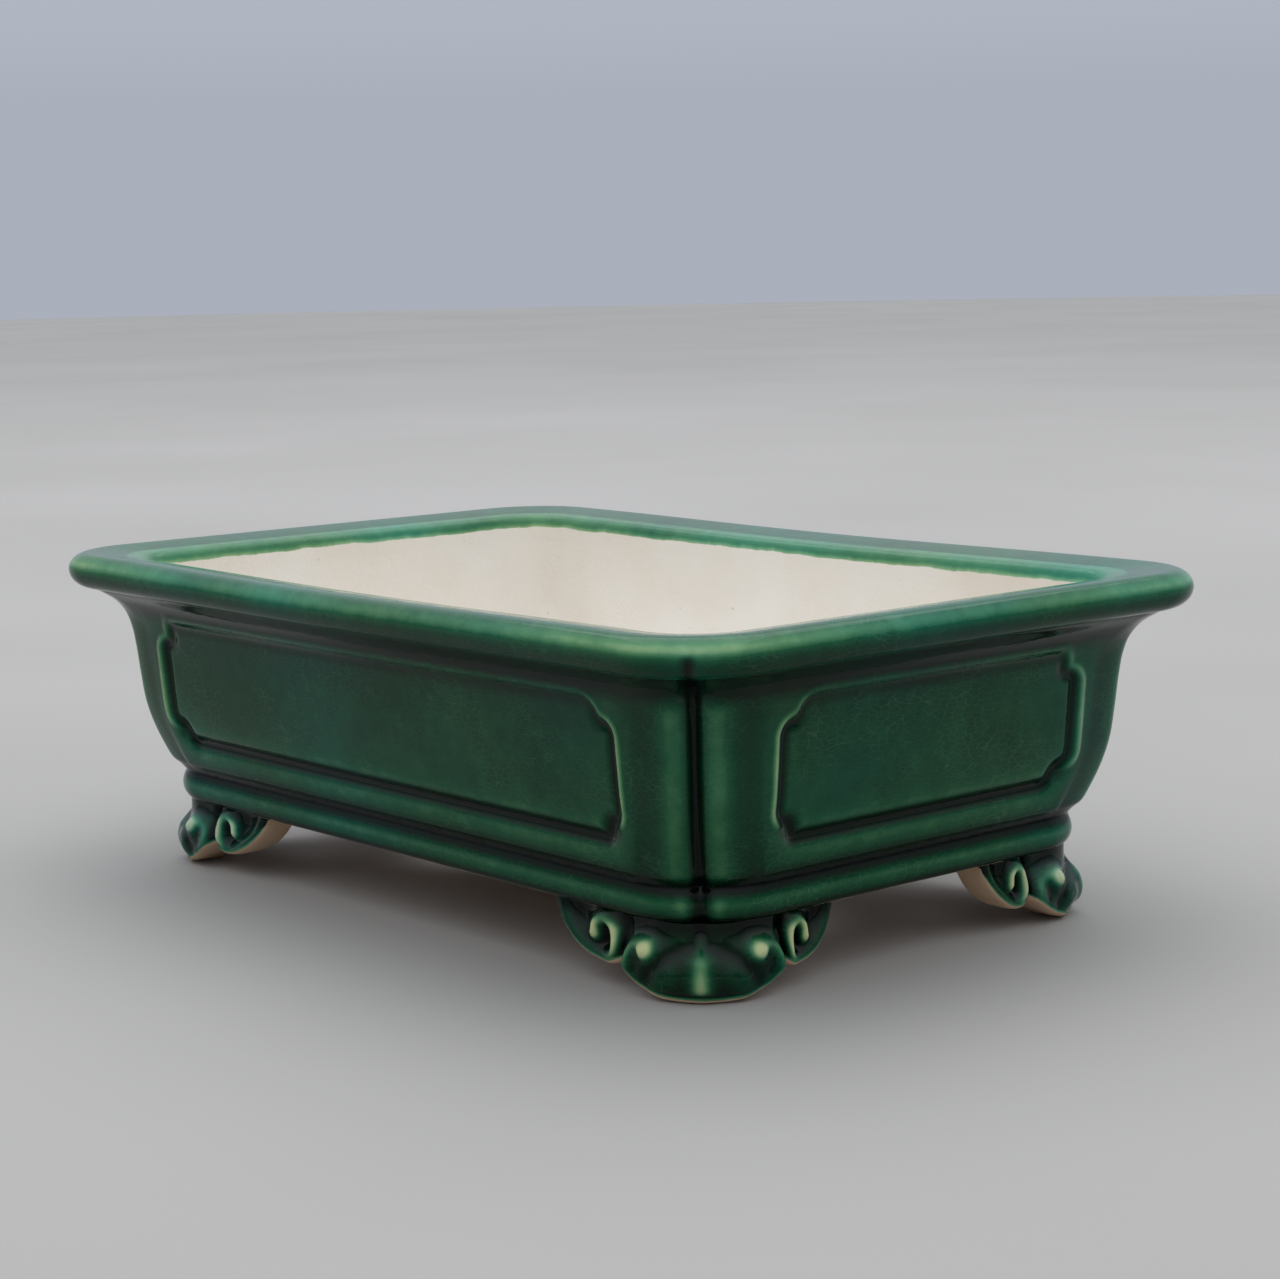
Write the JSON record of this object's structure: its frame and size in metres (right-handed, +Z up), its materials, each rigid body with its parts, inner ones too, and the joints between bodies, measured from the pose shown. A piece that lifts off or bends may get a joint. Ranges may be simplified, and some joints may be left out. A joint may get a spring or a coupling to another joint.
{
  "type": "bonsai pot",
  "caption": "Rectangular glazed bonsai pot with a flared flat rim, sunk wall panels, a banded floor and scrolled corner feet.",
  "frame": {"origin": "on the surface that the pot stands on, under the middle of the pot", "axes": "+Z up, +X along the long side, -Y towards the front wall"},
  "size_m": [0.255, 0.169, 0.0815],
  "materials": {
    "glaze": "glossy green glaze, fine crackle, pale where thin on edges, dark where it pools; bare cream clay inside and under"
  },
  "bodies": {
    "root": {"rim_front": "glaze", "rim_back": "glaze", "rim_left": "glaze", "rim_right": "glaze", "wall_front": "glaze", "wall_back": "glaze", "wall_left": "glaze", "wall_right": "glaze", "foot_front_left": "glaze", "foot_front_right": "glaze", "foot_back_left": "glaze", "foot_back_right": "glaze", "floor_slab": "glaze"}
  },
  "joints": []
}
